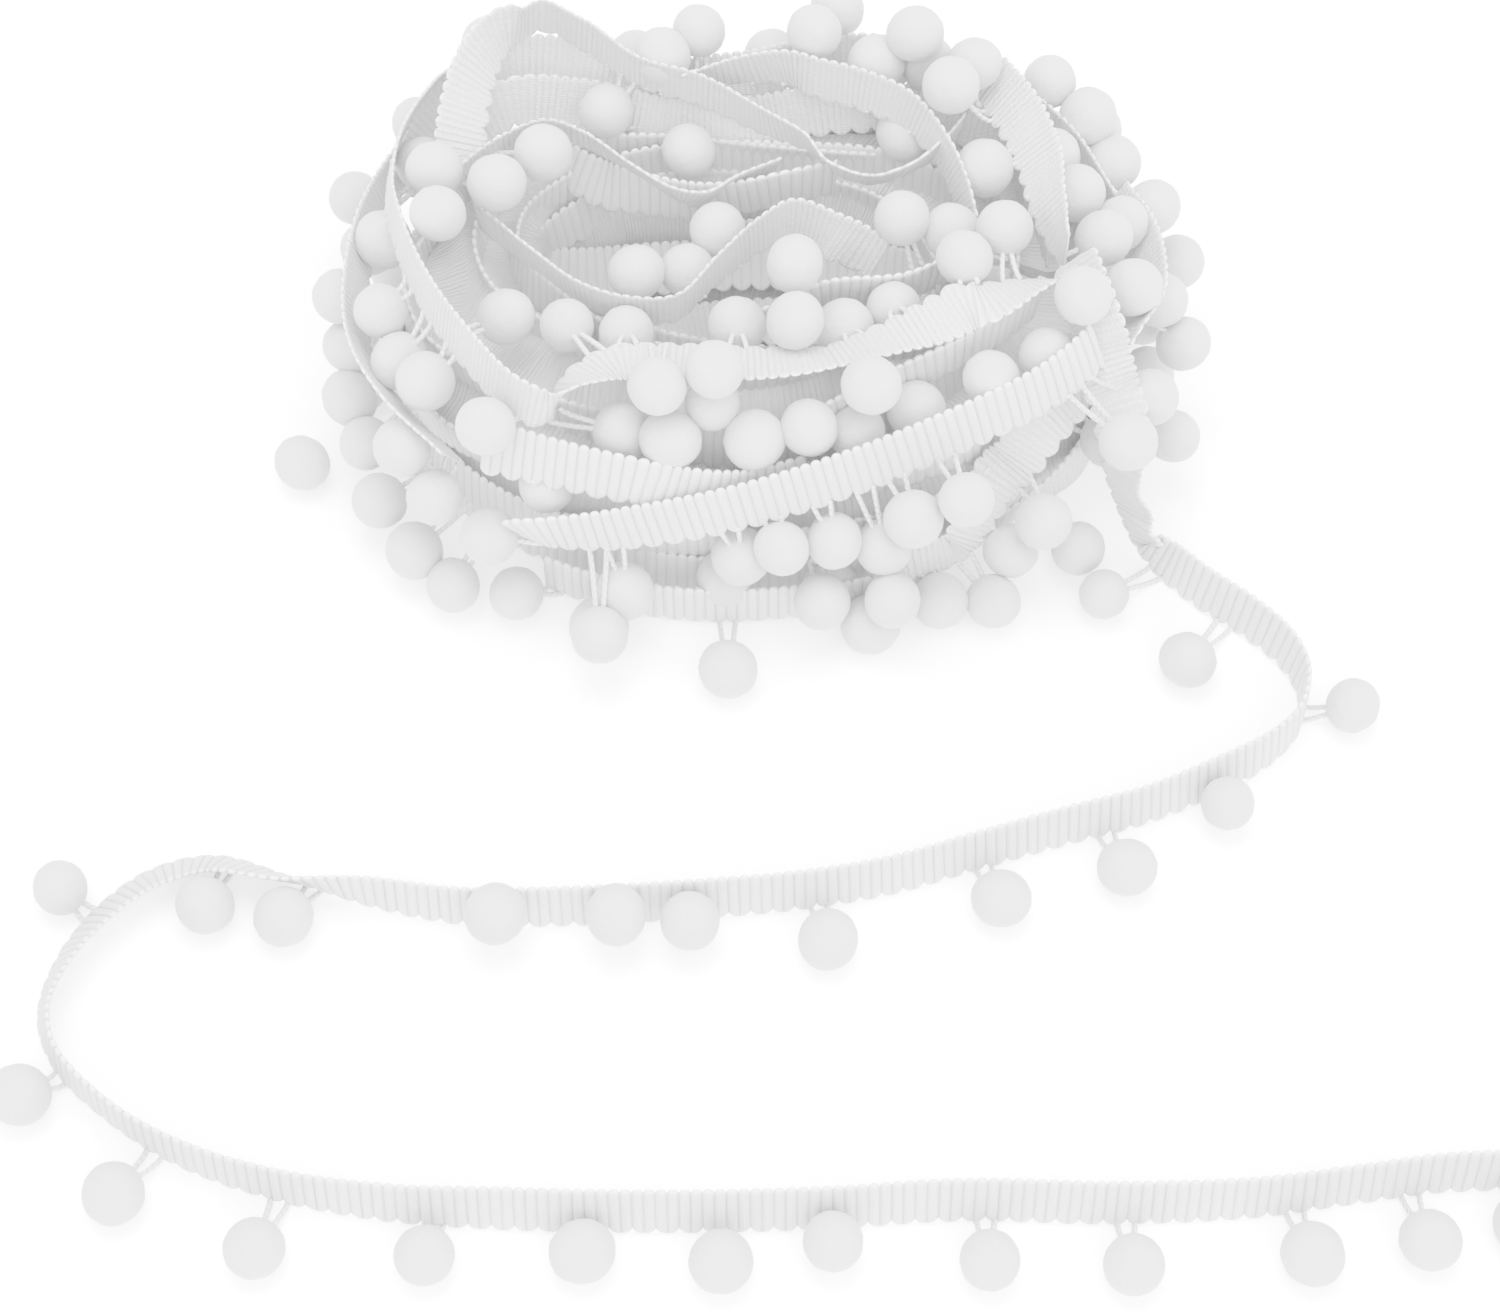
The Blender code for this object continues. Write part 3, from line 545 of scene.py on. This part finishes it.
def heap_pompoms(diameter):
    """Middles of the heap's pompoms: the ones listed, then one a pitch on the outer turns."""
    spots = [Vector(spot) for rows in HEAP_POMPOMS.values() for spot in rows]
    along, foot, _, right, _ = lay_ribbon("foot", wound_rows(), 2.0)
    turn_length = along[-1] / len(TURNS)
    for k in range(int(along[-1] / POMPOM_PITCH)):
        i = min(int(k * POMPOM_PITCH / (along[1] - along[0])), len(along) - 1)
        turn = min(int(along[i] / turn_length), len(TURNS) - 1)
        if TURNS[turn][1] < 0.8:
            continue
        spot = Vector(foot[i] + right[i] * 7.0)
        spot.z = max(foot[i][2] + 1.0, diameter / 2)
        if min((spot - other).length for other in spots) > 0.9 * diameter:
            spots.append(spot)
    return [tuple(spot) for spot in spots]


def make_piece(name, corners, faces, uvs=None, woven=None):
    """A mesh object from corners in millimetres, with its place in its mesh."""
    data = bpy.data.meshes.new(name)
    data.from_pydata(((corners + [*PLACE, 0.0]) * MM).tolist(), [], faces)
    if uvs is not None:
        layer = data.uv_layers.new(name="laid_flat")
        index = np.empty(len(data.loops), dtype=np.int32)
        data.loops.foreach_get("vertex_index", index)
        layer.data.foreach_set("uv", uvs[index].ravel())
    if woven is not None:
        data.attributes.new("woven", "FLOAT", "POINT").data.foreach_set("value", woven)
    data.polygons.foreach_set("use_smooth", [True] * len(data.polygons))
    item = bpy.data.objects.new(name, data)
    bpy.context.scene.collection.objects.link(item)
    return item


def finish_piece(item, material, node):
    """Give a piece its material, and let it stand for the CAD node where it lies."""
    item.data.materials.append(material)
    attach(item, "root")
    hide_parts(node)
    return item


def rib_distances(length, pitch, places):
    """Distances along a ribbon of its sections, at the given places in each rib."""
    ribs = np.arange(int(length / pitch) + 1)[:, None]
    return ((ribs + np.array(places)[None, :]) * pitch).ravel()


def ribbon_sections(line, rows, settings, places, woven_from, woven_to):
    """Corners, distances across and along, and weave of a ribbed ribbon's closed sections."""
    pitch = settings.rib_pitch / MM
    along, foot, top, _, run = lay_ribbon(line, rows, rib_distances(6000.0, pitch, places))
    rise = unit(top - foot)
    face = unit(np.cross(run, rise))
    rib = np.abs(np.sin(np.pi * along / pitch)) ** 0.5
    wave = np.abs(np.sin(np.pi * along / (2 * pitch))) ** 0.7
    low = settings.scallop / MM * (wave - 0.85)
    high = 0.6 * settings.scallop / MM * (rib - 0.5)
    weave = ((along >= woven_from * along[-1]) & (along <= woven_to * along[-1])).astype(float)
    rib = rib * (1.0 - 0.8 * weave)
    lines, across = [], []
    for side in (1.0, -1.0):
        for place, thick, lower, upper in ACROSS[::int(side)]:
            middle = 1.0 if 0.1 < place < 0.9 else 0.35
            outwards = thick * 0.8 + settings.rib_height / MM * (rib - 0.5) * middle
            spot = RIBBON_WIDTH * place - low * lower + high * upper
            lines.append(foot + rise * spot[:, None] + face * (side * outwards)[:, None])
            across.append(spot)
    corners = np.stack(lines, axis=1)
    across = np.stack(across, axis=1)
    flat = np.stack([np.repeat(along[:, None], across.shape[1], axis=1), across], axis=2)
    return corners, flat, np.repeat(weave[:, None], across.shape[1], axis=1)


def ribbon_piece(name, chosen, settings, places):
    """One mesh of the chosen strands, each a closed strip of sections, and their whole length."""
    corners, uvs, woven, faces = [], [], [], []
    first, length = 0, 0.0
    for strand, (line, rows) in chosen.items():
        spots, flat, weave = ribbon_sections(line, rows, settings, places, *WOVEN.get(strand, (2.0, 2.0)))
        count, sides = spots.shape[:2]
        index = first + np.arange(count * sides).reshape(count, sides)
        here, ahead = index[:-1], index[1:]
        quads = np.stack([here, np.roll(here, -1, axis=1), np.roll(ahead, -1, axis=1), ahead], axis=2)
        faces += quads.reshape(-1, 4)[:, ::-1].tolist()
        faces += [index[0].tolist(), index[-1][::-1].tolist()]
        corners.append(spots.reshape(-1, 3))
        uvs.append(flat.reshape(-1, 2))
        woven.append(weave.ravel())
        first += count * sides
        length += flat[-1, 0, 0]
    item = make_piece(name, np.concatenate(corners), faces, np.concatenate(uvs), np.concatenate(woven))
    return item, length * MM


def model_pompom(seed):
    """One pompom a unit across: a sphere whose pile is pushed in and out a little."""
    bpy.ops.object.select_all(action="DESELECT")
    bpy.ops.mesh.primitive_ico_sphere_add(subdivisions=4, radius=0.5)
    ball = bpy.context.active_object
    bpy.ops.object.mode_set(mode="EDIT")
    bpy.ops.mesh.select_all(action="SELECT")
    bpy.ops.transform.vertex_random(offset=0.012, uniform=0.0, normal=1.0, seed=seed)
    bpy.ops.mesh.vertices_smooth(factor=0.5, repeat=1)
    bpy.ops.object.mode_set(mode="OBJECT")
    corners = np.array([corner.co for corner in ball.data.vertices])
    faces = np.array([face.vertices for face in ball.data.polygons])
    bpy.data.objects.remove(ball, do_unlink=True)
    return corners, faces


def pompom_piece(name, middles, diameters, seed):
    """Copies of a few modelled pompoms, each turned and a little out of round, as one mesh."""
    chance = np.random.default_rng(seed)
    models = [model_pompom(seed + k) for k in range(4)]
    corners, faces, first = [], [], 0
    for k, (middle, diameter) in enumerate(zip(middles, diameters)):
        spots, sides = models[k % len(models)]
        shape = Matrix.Diagonal(Vector(chance.uniform(0.95, 1.04, 3)) * diameter)
        turn = Matrix.Rotation(chance.uniform(0, math.pi), 3, Vector(chance.uniform(-1, 1, 3)).normalized())
        middle = np.array(middle, float)
        middle[2] = max(middle[2], diameter * 0.5)
        moved = spots @ np.array(turn @ shape).T
        corners.append(moved + middle)
        faces += (sides + first).tolist()
        first += len(spots)
    return make_piece(name, np.concatenate(corners), faces)


def yarn_tube(line, radius, sides=6):
    """Corners, faces and flat places of one yarn along a line of points."""
    run = unit(np.gradient(line, axis=0))
    level = unit(np.cross(run, [0.31, 0.52, 0.79]))
    upright = np.cross(run, level)
    turn = np.arange(sides) * 2 * math.pi / sides
    ring = (level[:, None, :] * np.cos(turn)[None, :, None]
            + upright[:, None, :] * np.sin(turn)[None, :, None])
    corners = (line[:, None, :] + ring * radius).reshape(-1, 3)
    index = np.arange(len(line) * sides).reshape(len(line), sides)
    here, ahead = index[:-1], index[1:]
    quads = np.stack([here, np.roll(here, -1, axis=1), np.roll(ahead, -1, axis=1), ahead], axis=2)
    faces = quads.reshape(-1, 4).tolist() + [index[0][::-1].tolist(), index[-1].tolist()]
    distance = np.concatenate([[0.0], np.cumsum(np.linalg.norm(np.diff(line, axis=0), axis=1))])
    flat = np.stack([np.repeat(distance, sides), np.tile(np.arange(sides) / sides, len(line))], axis=1)
    return corners, faces, flat


def fringed_edges(chosen):
    """Places along the fringed edges of the chosen strands, with their run and rise."""
    found = [[], [], []]
    for line, rows in chosen.values():
        _, foot, top, _, run = lay_ribbon(line, rows, 0.5)
        inner = slice(4, -4)
        for part, values in zip(found, (foot, run, unit(top - foot))):
            part.append(values[inner])
    return [np.concatenate(part) for part in found]


def loop_piece(name, middles, chosen, settings, longest):
    """The loops of two yarns each, from the nearest fringed edge into each pompom."""
    radius = settings.yarn_diameter / MM / 2
    spread = settings.loop_width / MM / 2
    places, runs, rises = fringed_edges(chosen)
    corners, faces, uvs, first = [], [], [], 0
    for middle in middles:
        middle = np.array(middle, float)
        way = middle - places
        far = np.linalg.norm(way, axis=1)
        upward = np.einsum("ij,ij->i", way, rises) / far
        k = int(np.argmin(far + 2.5 * (1.0 + upward)))
        if far[k] > longest:
            continue
        for side in (-1.0, 1.0):
            start = places[k] + rises[k] * 0.9 + runs[k] * spread * side
            bend = places[k] - rises[k] * 1.2 + runs[k] * spread * side * 0.9
            end = middle + runs[k] * side * 0.5 - way[k] / far[k] * 2.5
            t = np.linspace(0.0, 1.0, 8)[:, None]
            line = start * (1 - t) ** 2 + 2 * bend * t * (1 - t) + end * t ** 2
            line[:, 2] = np.maximum(line[:, 2], radius)
            spots, sides, flat = yarn_tube(line, radius)
            corners.append(spots)
            faces += [[corner + first for corner in face] for face in sides]
            uvs.append(flat)
            first += len(spots)
    return make_piece(name, np.concatenate(corners), faces, np.concatenate(uvs))


class POMPOM_TRIM_OT_loose_ribbon(bpy.types.Operator):
    """Lay the loose end of the ribbon in its S on the floor"""
    bl_idname = "pompom_trim.loose_ribbon"
    bl_label = "Loose Ribbon"

    def execute(self, context):
        settings = context.scene.pompom_trim
        chosen = {"loose_end": ("foot", TAIL_ROWS)}
        item, length = ribbon_piece("loose_ribbon", chosen, settings, RIB_PLACES)
        finish_piece(item, ribbon_material(settings.ribbon_colour, settings.rib_pitch), "tail")
        return {"FINISHED"}


class POMPOM_TRIM_OT_wound_ribbon(bpy.types.Operator):
    """Wind the rest of the ribbon into the heap: the turns that show, and those inside"""
    bl_idname = "pompom_trim.wound_ribbon"
    bl_label = "Wound Ribbon"

    def execute(self, context):
        settings = context.scene.pompom_trim
        material = ribbon_material(settings.ribbon_colour, settings.rib_pitch)
        pieces = (("upper_ribbon", UPPER_TURNS, RIB_PLACES),
                  ("inner_ribbon", {"wound": ("foot", wound_rows())}, (0.0, 0.3, 0.7)))
        for name, chosen, places in pieces:
            item, length = ribbon_piece(name, chosen, settings, places)
            finish_piece(item, material, "coil")
        finish_piece(core_piece("packed_trim"), material, "coil")
        return {"FINISHED"}


class POMPOM_TRIM_OT_pompoms(bpy.types.Operator):
    """Put the pompoms and their loops of yarn along the ribbon's fringed edge"""
    bl_idname = "pompom_trim.pompoms"
    bl_label = "Pompoms And Loops"

    def execute(self, context):
        settings = context.scene.pompom_trim
        diameter = settings.pompom_diameter / MM
        pile = pompom_material(settings.pompom_colour)
        yarn = yarn_material(settings.ribbon_colour)
        laid = [row[:3] for row in TAIL_POMPOMS]
        share = diameter / CAD_POMPOM_DIAMETER
        laid_sizes = [row[3] * share for row in TAIL_POMPOMS]
        heap = settle(heap_pompoms(diameter), laid, diameter)
        chance = np.random.default_rng(SEED)
        heap_sizes = diameter * chance.uniform(1 - POMPOM_SPREAD, 1 + POMPOM_SPREAD, len(heap))
        finish_piece(pompom_piece("loose_pompoms", laid, laid_sizes, SEED), pile, "tail")
        finish_piece(pompom_piece("heap_pompoms", heap, heap_sizes, SEED + 9), pile, "coil")
        loose = {"loose_end": ("foot", TAIL_ROWS)}
        wound = {name: strand for name, strand in strands().items() if name != "loose_end"}
        finish_piece(loop_piece("loose_loops", laid, loose, settings, LONGEST_LOOSE_LOOP), yarn, "tail")
        finish_piece(loop_piece("heap_loops", heap, wound, settings, LONGEST_HEAP_LOOP), yarn, "coil")
        return {"FINISHED"}


class POMPOM_TRIM_OT_stage(bpy.types.Operator):
    """Set up the white floor, the soft lights and the camera"""
    bl_idname = "pompom_trim.stage"
    bl_label = "Stage"

    def execute(self, context):
        bpy.ops.object.select_all(action="DESELECT")
        bpy.ops.mesh.primitive_plane_add(size=6.0)
        floor = context.active_object
        floor.name = "floor"
        material, shader, _ = cloth_material("white_floor", (FLOOR_SHADE,) * 3, 0.9)
        shader.inputs["Emission Color"].default_value = (1.0, 1.0, 1.0, 1.0)
        shader.inputs["Emission Strength"].default_value = FLOOR_GLOW
        floor.data.materials.append(material)
        aim = Vector((PLACE[0] * MM, PLACE[1] * MM, 0.0))
        for name, place, size, power in LAMPS:
            data = bpy.data.lights.new(name, "AREA")
            data.shape = "SQUARE"
            data.size = size
            data.energy = power
            lamp = bpy.data.objects.new(name, data)
            lamp.location = place
            lamp.rotation_euler = (aim - lamp.location).to_track_quat("-Z", "Y").to_euler()
            context.scene.collection.objects.link(lamp)
        world = bpy.data.worlds.new("studio")
        world.use_nodes = True
        sky = world.node_tree.nodes["Background"]
        sky.inputs["Color"].default_value = (1.0, 1.0, 1.0, 1.0)
        sky.inputs["Strength"].default_value = SKY_STRENGTH
        context.scene.world = world
        context.scene.view_settings.view_transform = "Standard"
        context.scene.view_settings.gamma = VIEW_GAMMA
        data = bpy.data.cameras.new("photograph")
        data.sensor_fit = "HORIZONTAL"
        data.sensor_width = 36.0
        data.lens = CAMERA_LENS
        data.clip_start = 0.01
        camera = bpy.data.objects.new("photograph", data)
        camera.location = (PLACE[0] * MM, (PLACE[1] - CAMERA_BACK) * MM, CAMERA_HEIGHT * MM)
        camera.rotation_euler = (math.radians(90.0 - CAMERA_TILT), 0.0, 0.0)
        context.scene.collection.objects.link(camera)
        context.scene.camera = camera
        return {"FINISHED"}


class POMPOM_TRIM_PT_sidebar(bpy.types.Panel):
    """The trim's sizes and colours, and a button for each of its pieces"""
    bl_idname = "POMPOM_TRIM_PT_sidebar"
    bl_label = "Pompom Fringe Trim"
    bl_space_type = "VIEW_3D"
    bl_region_type = "UI"
    bl_category = "Trim"

    def draw(self, context):
        settings = context.scene.pompom_trim
        for name in TrimSettings.__annotations__:
            self.layout.prop(settings, name)
        for operator in OPERATORS:
            self.layout.operator(operator.bl_idname)


OPERATORS = (
    POMPOM_TRIM_OT_loose_ribbon, POMPOM_TRIM_OT_wound_ribbon, POMPOM_TRIM_OT_pompoms, POMPOM_TRIM_OT_stage)


def register():
    for kind in (TrimSettings, *OPERATORS, POMPOM_TRIM_PT_sidebar):
        bpy.utils.register_class(kind)
    bpy.types.Scene.pompom_trim = bpy.props.PointerProperty(type=TrimSettings)


def unregister():
    del bpy.types.Scene.pompom_trim
    for kind in (POMPOM_TRIM_PT_sidebar, *reversed(OPERATORS), TrimSettings):
        bpy.utils.unregister_class(kind)


def main():
    register()
    bpy.ops.pompom_trim.loose_ribbon()
    bpy.ops.pompom_trim.wound_ribbon()
    bpy.ops.pompom_trim.pompoms()
    bpy.ops.pompom_trim.stage()


if __name__ == "__main__":
    main()
